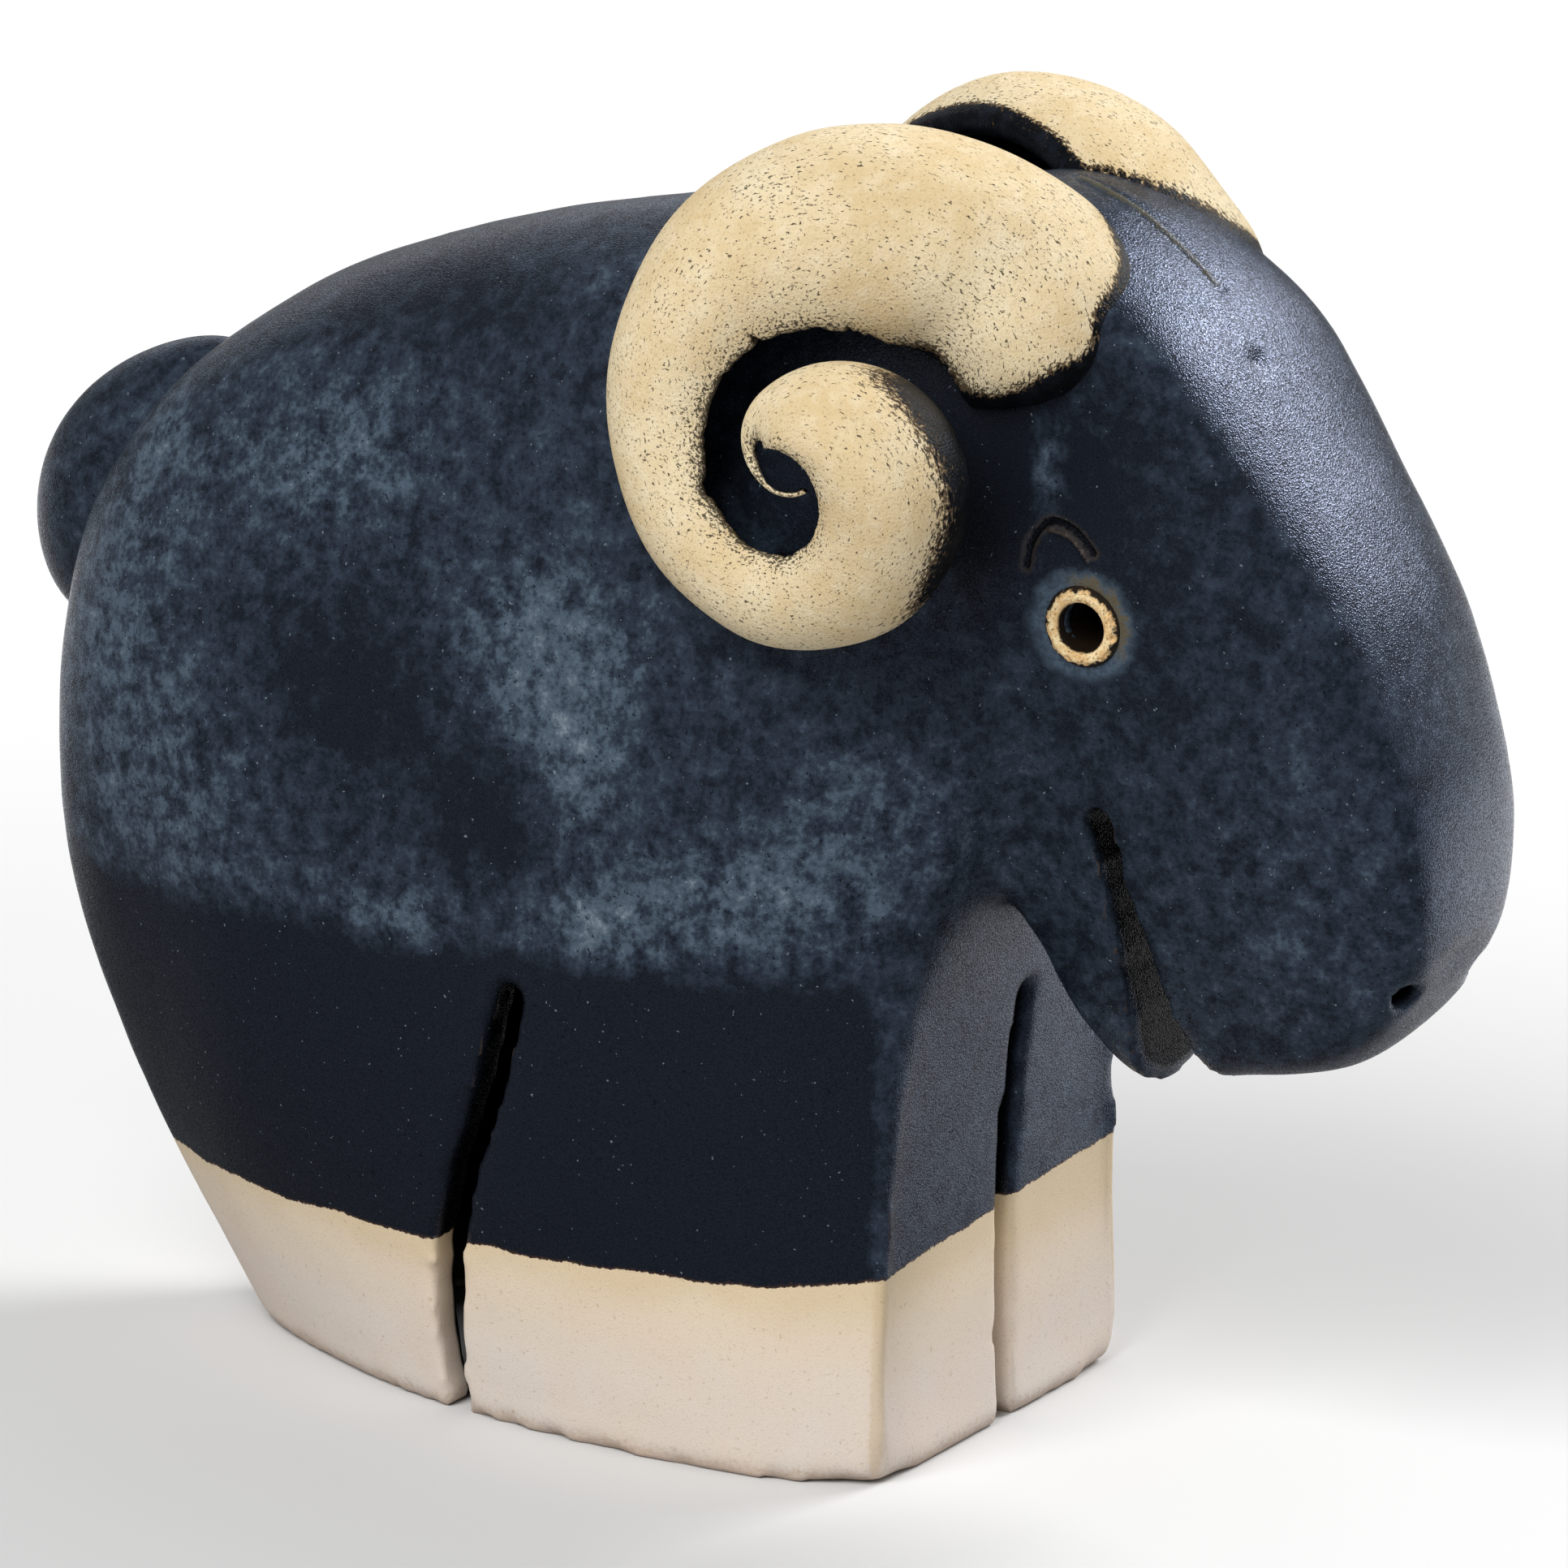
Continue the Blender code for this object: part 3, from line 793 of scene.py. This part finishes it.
def make_eye_ring(name, skin, side):
    """A ring of bare clay pressed onto the head round the eye's hole."""
    point, normal = on_skin(skin, EYE_PLACE, side)
    mesh = bmesh.new()
    inner = EYE_HOLE / 2
    outer = EYE_DIAMETER / 2
    profile = (
        (inner - 0.4, -EYE_RING_ROOT),
        (inner, 0.2),
        (inner + 0.3, 0.7),
        (inner + 0.9, 0.95),
        (inner + 1.8, 1.0),
        (outer - 0.9, 0.85),
        (outer - 0.3, 0.5),
        (outer, -0.1),
        (outer, -3),
    )
    corners = [mesh.verts.new((r, 0, z)) for r, z in profile]
    edges = [mesh.edges.new(pair) for pair in zip(corners, corners[1:])]
    whole = {"axis": (0, 0, 1), "cent": (0, 0, 0), "angle": 2 * math.pi, "steps": 96}
    bmesh.ops.spin(mesh, geom=corners + edges, use_merge=True, **whole)
    bmesh.ops.subdivide_edges(mesh, edges=mesh.edges, cuts=1, use_grid_fill=True)
    for corner in mesh.verts:
        spot = corner.co.copy()
        if spot.z > 0 and spot.xy.length > inner + 1.5:
            chip = max(0.0, noise.noise(spot / 0.9) - 0.2) * 1.3
            corner.co -= Vector((spot.x, spot.y, 0)).normalized() * chip * 0.5 + Vector((0, 0, chip))
    bmesh.ops.recalc_face_normals(mesh, faces=mesh.faces)
    turn = normal.to_track_quat("Z", "Y").to_matrix()
    bmesh.ops.rotate(mesh, verts=mesh.verts, cent=(0, 0, 0), matrix=turn)
    bmesh.ops.translate(mesh, verts=mesh.verts, vec=point)
    ring = place(name, mesh)
    shade(ring)
    points = points_of(ring.data) - point
    across = points - (points @ np.array(normal))[:, None] * np.array(normal)
    paint(ring.data, "from_middle", np.linalg.norm(across, axis=1))
    return ring


def colour(code):
    """An sRGB hex colour as linear RGBA."""
    parts = [int(code[i : i + 2], 16) / 255 for i in (1, 3, 5)]
    return tuple(p / 12.92 if p <= 0.04045 else ((p + 0.055) / 1.055) ** 2.4 for p in parts) + (1.0,)


def grey(level):
    """A linear grey."""
    return (level, level, level, 1)


def add(tree, kind, settings, inputs):
    """A node with its settings; each input is a value or another node's output."""
    node = tree.nodes.new(kind)
    for name, value in settings.items():
        setattr(node, name, value)
    for key, value in inputs.items():
        if isinstance(value, bpy.types.NodeSocket):
            tree.links.new(value, node.inputs[key])
        else:
            node.inputs[key].default_value = value
    return node


def new_material(name):
    """A material, its tree and its shader."""
    material = bpy.data.materials.new(name)
    material.use_nodes = True
    tree = material.node_tree
    return material, tree, tree.nodes["Principled BSDF"]


def grain(tree, where, size, detail, stretch=(1, 1, 1)):
    """Noise whose lumps are about a size in millimetres wide."""
    turned = add(tree, "ShaderNodeMapping", {}, {"Vector": where, "Scale": stretch})
    lumps = {"Vector": turned.outputs[0], "Scale": 1 / (size * MM), "Detail": detail, "Roughness": 0.6}
    return add(tree, "ShaderNodeTexNoise", {}, lumps).outputs["Fac"]


def ramp(tree, value, low, high, start=0.0, end=1.0):
    """A value eased from start to end as it climbs from low to high."""
    limits = {0: value, 1: low, 2: high, 3: start, 4: end}
    return add(tree, "ShaderNodeMapRange", {"interpolation_type": "SMOOTHSTEP"}, limits).outputs[0]


def blend(tree, share, under, over):
    """Two colours mixed by a share."""
    return add(tree, "ShaderNodeMix", {"data_type": "RGBA"}, {0: share, 6: under, 7: over}).outputs[2]


def sums(tree, kind, first, second, third=0.0):
    """Arithmetic on two or three values."""
    return add(tree, "ShaderNodeMath", {"operation": kind}, {0: first, 1: second, 2: third}).outputs[0]


def read(tree, name):
    """A value painted on the piece."""
    return add(tree, "ShaderNodeAttribute", {"attribute_name": name}, {}).outputs["Fac"]


def along_line(tree, name, fleck, wobble, low, high, share):
    """A share beside a painted line, gone from low to high off it, its border broken by the flecks."""
    away = sums(tree, "MULTIPLY_ADD", fleck, wobble, read(tree, name))
    return ramp(tree, away, low, high, share, 0)


def cloud_and_shade_colour(tree, where, patch, fleck, dots):
    """How much the glaze clouds, and its colour: black-blue to slate, with pinholes and pale crystals;
    darker where painted shade lowers the value round the horn's coil.
    """
    broad = grain(tree, where, 14, 3)
    cloud_and_shade = read(tree, "cloud_and_shade")
    mottle = sums(tree, "MULTIPLY_ADD", broad, 0.9, -2.35)
    mottle = sums(tree, "MULTIPLY_ADD", patch, 2.5, mottle)
    mottle = sums(tree, "MULTIPLY_ADD", fleck, 1.3, mottle)
    mottle = sums(tree, "MULTIPLY", mottle, ramp(tree, cloud_and_shade, -0.4, 0.9, 0.4, 0.85))
    mottled = sums(tree, "MULTIPLY_ADD", cloud_and_shade, 0.5, sums(tree, "ADD", mottle, 0.1))
    face = blend(tree, ramp(tree, mottled, -0.15, 0.3), colour("#14181f"), colour("#29323d"))
    face = blend(tree, ramp(tree, mottled, 0.2, 0.65), face, colour("#475461"))
    face = blend(tree, ramp(tree, mottled, 0.6, 1.25), face, colour("#7a868e"))
    face = blend(tree, ramp(tree, dots, 0.68, 0.73, 0, 0.75), face, colour("#0a0c10"))
    return mottled, blend(tree, ramp(tree, dots, 0.25, 0.22, 0, 0.45), face, colour("#8b9aa3"))


def round_eyes(tree, face, patch, fleck):
    """The glaze's pale bloom round the eyes, with a brown crust on one side of it."""
    halo = sums(tree, "MULTIPLY_ADD", fleck, 3.0, read(tree, "from_eye"))
    halo = sums(tree, "MULTIPLY_ADD", patch, 6.0, halo)
    broken = ramp(tree, fleck, 0.35, 0.6, 0.5, 1.0)
    bloom = sums(tree, "MULTIPLY", ramp(tree, halo, 12.0, 15.0, 0.8, 0), broken)
    face = blend(tree, bloom, face, colour("#506170"))
    crust = sums(tree, "MULTIPLY", ramp(tree, halo, 11.8, 13.4, 0.85, 0), read(tree, "crust"))
    return blend(tree, crust, face, colour("#5b5139"))


def thin_glaze_and_brow_shade(tree, where, face, edge, fleck):
    """Brown where the glaze ran thin: off edges, on the seam, burrs and rims; near-black painted shade in
    the brows' grooves.
    """
    worn = sums(tree, "MULTIPLY_ADD", fleck, 1.5, edge)
    face = blend(tree, ramp(tree, worn, 2.2, 3.2, 0, 0.4), face, colour("#4a3a2c"))
    lines = (
        ("from_seam", 1.6, 1.0, 2.1, 0.7, "#5a553f"),
        ("from_brow", 1.2, 1.4, 2.2, 0.5, "#3f372f"),
        # painted shade: near-black in each brow's groove
        ("from_brow", 1.2, 1.0, 1.4, 1.0, "#0a0a0b"),
        ("from_burr", 2.0, 0.8, 1.4, 0.5, "#655c4e"),
    )
    for name, wobble, low, high, share, tint in lines:
        beside = along_line(tree, name, fleck, wobble, low, high, share)
        face = blend(tree, beside, face, colour(tint))
    lip = along_line(tree, "from_mouth", fleck, 1.1, 0.85, 1.15, 1)
    broken = ramp(tree, grain(tree, where, 2.4, 1), 0.4, 0.5)
    face = blend(tree, sums(tree, "MULTIPLY", lip, broken), face, colour("#8f6e4b"))
    seat = along_line(tree, "from_tail", fleck, 1.4, 1.6, 2.6, 0.85)
    return blend(tree, seat, face, colour("#5e4c3e"))


def above_wiped_edge(tree, where, fleck):
    """Millimetres above the uneven line down to which the glaze was wiped off the foot."""
    tilt = {"operation": "DOT_PRODUCT"}
    slope = add(tree, "ShaderNodeVectorMath", tilt, {0: where, 1: GLAZE_EDGE}).outputs["Value"]
    height = sums(tree, "MULTIPLY_ADD", slope, 1 / MM, -GLAZE_EDGE_HEIGHT)
    height = sums(tree, "MULTIPLY_ADD", grain(tree, where, 17, 1), -3.0, sums(tree, "ADD", height, 1.5))
    return sums(tree, "MULTIPLY_ADD", fleck, -1.3, sums(tree, "ADD", height, 0.65))


def satin_glaze():
    """Cobalt and iron glaze over stoneware: black-blue and satin, clouding to slate and glittering where
    it crystallised on cooling, brown where it ran thin off edges, near-black and dull on the cut faces
    and in the hollow, partly as painted shade, wiped off the foot so that the bare clay shows."""
    material, tree, shader = new_material("satin_black_glaze")
    where = add(tree, "ShaderNodeTexCoord", {}, {}).outputs["Object"]
    patch = grain(tree, where, 3.6, 7)
    fleck = grain(tree, where, 0.95, 4)
    fine = grain(tree, where, 0.32, 1)
    dots = grain(tree, where, 0.8, 1)
    edge = read(tree, "edge")
    deep = read(tree, "deep")

    mottled, face = cloud_and_shade_colour(tree, where, patch, fleck, dots)
    face = round_eyes(tree, face, patch, fleck)
    face = thin_glaze_and_brow_shade(tree, where, face, edge, fleck)
    # Near-black deeper than 1.3 mm under the skin: the glaze's own black on the cut faces, darkened
    # further as painted shade
    face = blend(tree, ramp(tree, deep, 1.3, 3.4), face, colour("#08090b"))

    body = bare_clay_colour(tree, where, edge, fleck, fine)
    height = above_wiped_edge(tree, where, fleck)
    covered = ramp(tree, height, -0.1, 0.1)
    face = blend(tree, ramp(tree, height, 0.05, 0.6), colour("#3d2a1e"), face)
    skin = blend(tree, covered, body, face)
    # Painted shade: black in the hollow, over glaze and bare clay alike
    skin = blend(tree, ramp(tree, deep, 5.4, 6.4), skin, colour("#060606"))
    tree.links.new(skin, shader.inputs["Base Color"])

    glitter = ramp(tree, fine, 0.4, 0.6, 0.38, 0.16)
    satin = sums(tree, "ADD", glitter, ramp(tree, mottled, 0.2, 1.2, 0, 0.1))
    rough = add(tree, "ShaderNodeMix", {}, {0: covered, 2: 0.92, 3: satin}).outputs[0]
    tree.links.new(rough, shader.inputs["Roughness"])
    dull = ramp(tree, deep, 1.3, 3.4, 1, 0.05)
    sparkle = sums(tree, "MULTIPLY", dull, ramp(tree, fine, 0.36, 0.6, 0.2, 1.0))
    tree.links.new(sparkle, shader.inputs["Specular IOR Level"])
    shader.inputs["IOR"].default_value = 1.6
    shader.inputs["Specular Tint"].default_value = colour("#c2d2ff")

    grit = sums(tree, "MULTIPLY_ADD", fleck, 0.15, fine)
    grit = sums(tree, "MULTIPLY_ADD", dots, -0.2, grit)
    grit = sums(tree, "MULTIPLY_ADD", covered, 0.8, grit)
    bump = {"Strength": ramp(tree, covered, 0, 1, 0.25, 0.6), "Distance": 0.25 * MM, "Height": grit}
    tree.links.new(add(tree, "ShaderNodeBump", {}, bump).outputs[0], shader.inputs["Normal"])
    return material


def bare_clay_colour(tree, where, edge, fleck, fine):
    """Unglazed stoneware: warm cream, tan where the glaze was wiped off it, whiter towards the ground
    as painted light bounced from the floor, darker in grooves as painted shade.
    """
    broad = grain(tree, where, 22, 2)
    low = add(tree, "ShaderNodeSeparateXYZ", {}, {"Vector": where}).outputs["Z"]
    # Painted light: whiter and greyer low down, fading out by 32 mm, as if lit from the white floor
    body = blend(tree, ramp(tree, low, 10 * MM, 32 * MM), colour("#ddd2c6"), colour("#dfcdb2"))
    body = blend(tree, ramp(tree, broad, 0.35, 0.65, 0, 0.4), body, colour("#e0cab5"))
    joint = along_line(tree, "from_joint", fleck, 1.6, 1.7, 2.6, 0.45)
    body = blend(tree, joint, body, colour("#c2a97f"))
    wiped = sums(tree, "MULTIPLY_ADD", broad, 14 * MM, low)
    body = blend(tree, ramp(tree, wiped, 32 * MM, 40 * MM, 0, 0.55), body, colour("#d3bd94"))
    body = blend(tree, ramp(tree, fleck, 0.62, 0.7, 0, 0.4), body, colour("#a9916f"))
    body = blend(tree, ramp(tree, fine, 0.25, 0.42, 0.3, 0), body, colour("#a38b6b"))
    crumbled = sums(tree, "MULTIPLY_ADD", low, -1 / (3.2 * MM), sums(tree, "MULTIPLY", fleck, 1.6))
    body = blend(tree, ramp(tree, crumbled, -0.25, 0.6, 0, 0.5), body, colour("#b89c82"))
    # Painted shade: darker where the skin turns into a groove or a slit's corner
    groove = ramp(tree, edge, -1.2, -0.2, 0.55, 0)
    return blend(tree, groove, body, colour("#8d765a"))


def buff_clay():
    """Bare grogged stoneware, stretched as the horn was bent so that its skin tore in fine dark
    cracks; the same glaze as the body's inside the curl and where it laps up onto the horn, and
    partly as painted shade where the curl faces the head."""
    material, tree, shader = new_material("bare_buff_stoneware")
    where = add(tree, "ShaderNodeTexCoord", {}, {}).outputs["Object"]
    slab = add(tree, "ShaderNodeAttribute", {"attribute_name": "slab"}, {}).outputs["Vector"]
    glaze_and_shade = read(tree, "glaze_and_shade")
    rim = read(tree, "rim")
    broad = grain(tree, where, 15, 3)
    patch = grain(tree, where, 3.2, 4)
    fine = grain(tree, where, 0.45, 3)
    tears = grain(tree, slab, 0.85, 3, (0.62, 1.6, 1))
    slant = grain(tree, where, 0.7, 3, (0.7, 1.5, 1.3))

    body = blend(tree, ramp(tree, broad, 0.32, 0.68), colour("#d0b98f"), colour("#dbcaa7"))
    body = blend(tree, ramp(tree, patch, 0.45, 0.7, 0, 0.35), body, colour("#e6dabf"))
    body = blend(tree, ramp(tree, fine, 0.28, 0.46, 0.45, 0), body, colour("#a88f62"))
    often = sums(tree, "MULTIPLY_ADD", broad, 0.14, sums(tree, "MULTIPLY_ADD", rim, 0.09, 0.07))
    thick = sums(tree, "MULTIPLY_ADD", glaze_and_shade, 0.26, sums(tree, "ADD", often, tears))
    crack = ramp(tree, thick, 0.765, 0.8)
    thick = sums(tree, "MULTIPLY_ADD", glaze_and_shade, 0.3, sums(tree, "ADD", often, slant))
    speck = ramp(tree, thick, 0.795, 0.83)
    dark = sums(tree, "MAXIMUM", crack, speck)
    body = blend(tree, sums(tree, "MULTIPLY", dark, 0.9), body, colour("#2f271c"))

    streak = grain(tree, where, 0.8, 4, (1.6, 1.6, 0.5))
    lap = sums(tree, "MULTIPLY_ADD", streak, 1.7, sums(tree, "MULTIPLY_ADD", tears, 0.9, glaze_and_shade))
    covered = ramp(tree, lap, 1.88, 1.97)
    stain = ramp(tree, lap, 1.6, 1.92, 0, 0.75)
    body = blend(tree, stain, body, colour("#5a4227"))
    face = blend(tree, ramp(tree, patch, 0.4, 0.7), colour("#090b0f"), colour("#151a22"))
    tree.links.new(blend(tree, covered, body, face), shader.inputs["Base Color"])
    rough = add(tree, "ShaderNodeMix", {}, {0: covered, 2: 0.9, 3: 0.42}).outputs[0]
    tree.links.new(rough, shader.inputs["Roughness"])
    tree.links.new(ramp(tree, covered, 0, 1, 0.5, 0.2), shader.inputs["Specular IOR Level"])

    pits = sums(tree, "MULTIPLY_ADD", dark, -1.8, sums(tree, "MULTIPLY_ADD", patch, 0.7, fine))
    bump = {"Strength": 0.75, "Distance": 0.32 * MM, "Height": pits}
    tree.links.new(add(tree, "ShaderNodeBump", {}, bump).outputs[0], shader.inputs["Normal"])
    return material


def eye_clay():
    """The eye's ring of bare clay, its outer rim chipped and dark with glaze, its bore brown clay
    darkened to near-black as painted shade.
    """
    material, tree, shader = new_material("eye_ring_stoneware")
    where = add(tree, "ShaderNodeTexCoord", {}, {}).outputs["Object"]
    out = read(tree, "from_middle")
    patch = grain(tree, where, 1.6, 3)
    fine = grain(tree, where, 0.5, 2)
    body = blend(tree, ramp(tree, patch, 0.35, 0.65), colour("#d6b07a"), colour("#ecd6a8"))
    body = blend(tree, ramp(tree, fine, 0.32, 0.46, 0.85, 0), body, colour("#7d5730"))
    torn = sums(tree, "MULTIPLY_ADD", patch, 2.6, out)
    body = blend(tree, ramp(tree, torn, 7.15, 7.6), body, colour("#241c15"))
    # Painted shade: the bore near-black brown
    bore_shade_reach = sums(tree, "MULTIPLY_ADD", patch, -0.8, out)
    bore = ramp(tree, bore_shade_reach, EYE_HOLE / 2 - 0.3, EYE_HOLE / 2, 1, 0)
    body = blend(tree, bore, body, colour("#1d140d"))
    tree.links.new(body, shader.inputs["Base Color"])
    shader.inputs["Roughness"].default_value = 0.8
    bump = {"Strength": 0.5, "Distance": 0.25 * MM, "Height": sums(tree, "ADD", patch, fine)}
    tree.links.new(add(tree, "ShaderNodeBump", {}, bump).outputs[0], shader.inputs["Normal"])
    return material


def surroundings():
    """Soft light from all sides, dimmer in the glaze, in front of a white backdrop."""
    world = bpy.data.worlds.new("studio")
    bpy.context.scene.world = world
    world.use_nodes = True
    tree = world.node_tree
    path = add(tree, "ShaderNodeLightPath", {}, {}).outputs
    soft = add(tree, "ShaderNodeMapRange", {}, {0: path["Is Glossy Ray"], 3: 0.38, 4: 0.12}).outputs[0]
    seen = add(tree, "ShaderNodeMix", {}, {0: path["Is Camera Ray"], 2: soft, 3: 1.0}).outputs[0]
    tree.nodes["Background"].inputs["Color"].default_value = grey(1)
    tree.links.new(seen, tree.nodes["Background"].inputs["Strength"])


def studio_paper():
    """Matte white paper, white in the distance; darker before the ram where the glaze mirrors it."""
    material, tree, shader = new_material("studio_paper")
    path = add(tree, "ShaderNodeLightPath", {}, {}).outputs
    where = add(tree, "ShaderNodeTexCoord", {}, {}).outputs["Object"]
    across = add(tree, "ShaderNodeSeparateXYZ", {}, {"Vector": where}).outputs["Y"]
    mirrored = blend(tree, ramp(tree, across, 0.0, 0.3), grey(0.07), grey(0.85))
    away = add(tree, "ShaderNodeVectorMath", {"operation": "LENGTH"}, {0: where}).outputs["Value"]
    far = sums(tree, "MULTIPLY", ramp(tree, away, 0.2, 0.6), path["Is Camera Ray"])
    pale = blend(tree, path["Is Camera Ray"], grey(0.5), grey(0.68))
    pale = blend(tree, path["Is Glossy Ray"], pale, mirrored)
    tree.links.new(blend(tree, far, pale, grey(0)), shader.inputs["Base Color"])
    tree.links.new(far, shader.inputs["Emission Strength"])
    shader.inputs["Emission Color"].default_value = grey(1)
    shader.inputs["Roughness"].default_value = 0.9
    return material


def make_floor():
    """A plain floor, far wider than the ram."""
    mesh = bmesh.new()
    bmesh.ops.create_grid(mesh, x_segments=1, y_segments=1, size=4)
    data = bpy.data.meshes.new("floor")
    mesh.to_mesh(data)
    mesh.free()
    floor = bpy.data.objects.new("floor", data)
    bpy.context.scene.collection.objects.link(floor)
    floor.data.materials.append(studio_paper())


def make_lamps():
    """Square soft panels."""
    for name, spot, size, power, shines in LAMPS:
        lamp = bpy.data.lights.new(name, "AREA")
        lamp.size = size
        lamp.energy = power
        made = bpy.data.objects.new(name, lamp)
        made.location = spot
        aim = Vector(LAMPS_AIM) - Vector(spot)
        made.rotation_euler = aim.to_track_quat("-Z", "Y").to_euler()
        made.visible_glossy = shines
        bpy.context.scene.collection.objects.link(made)


def make_camera():
    """The photograph's camera."""
    lens = bpy.data.cameras.new("camera")
    lens.sensor_width = SENSOR_WIDTH
    lens.lens = FOCAL_PIXELS / IMAGE_PIXELS * SENSOR_WIDTH
    lens.clip_end = 20
    camera = bpy.data.objects.new("camera", lens)
    azimuth = math.radians(AZIMUTH)
    elevation = math.radians(ELEVATION)
    level = math.cos(elevation)
    look = Vector((-math.sin(azimuth) * level, math.cos(azimuth) * level, -math.sin(elevation)))
    camera.location = Vector((-MIDDLE * MM, 0, LOOK_HEIGHT)) - look * CAMERA_DISTANCE
    camera.rotation_euler = look.to_track_quat("-Z", "Y").to_euler()
    bpy.context.scene.collection.objects.link(camera)
    bpy.context.scene.camera = camera
    bpy.context.scene.view_settings.view_transform = "Standard"


def main():
    """The ram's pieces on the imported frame, then the studio round them."""
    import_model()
    glaze = satin_glaze()
    clay = buff_clay()
    eyes = eye_clay()
    tail = make_tail()
    body, skin = make_body(tail)
    pieces = [(body, glaze, "glazed_stoneware"), (tail, glaze, "glazed_stoneware")]
    for side, word in ((-1, "right"), (1, "left")):
        pieces.append((make_horn(f"horn_{word}", side, skin), clay, "bare_buff_clay"))
        pieces.append((make_eye_ring(f"eye_ring_{word}", skin, side), eyes, "bare_buff_clay"))
    for piece, material, slot in pieces:
        piece.data.materials.append(material)
        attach(piece, "root")
    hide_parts("ram")
    surroundings()
    make_floor()
    make_lamps()
    make_camera()


main()
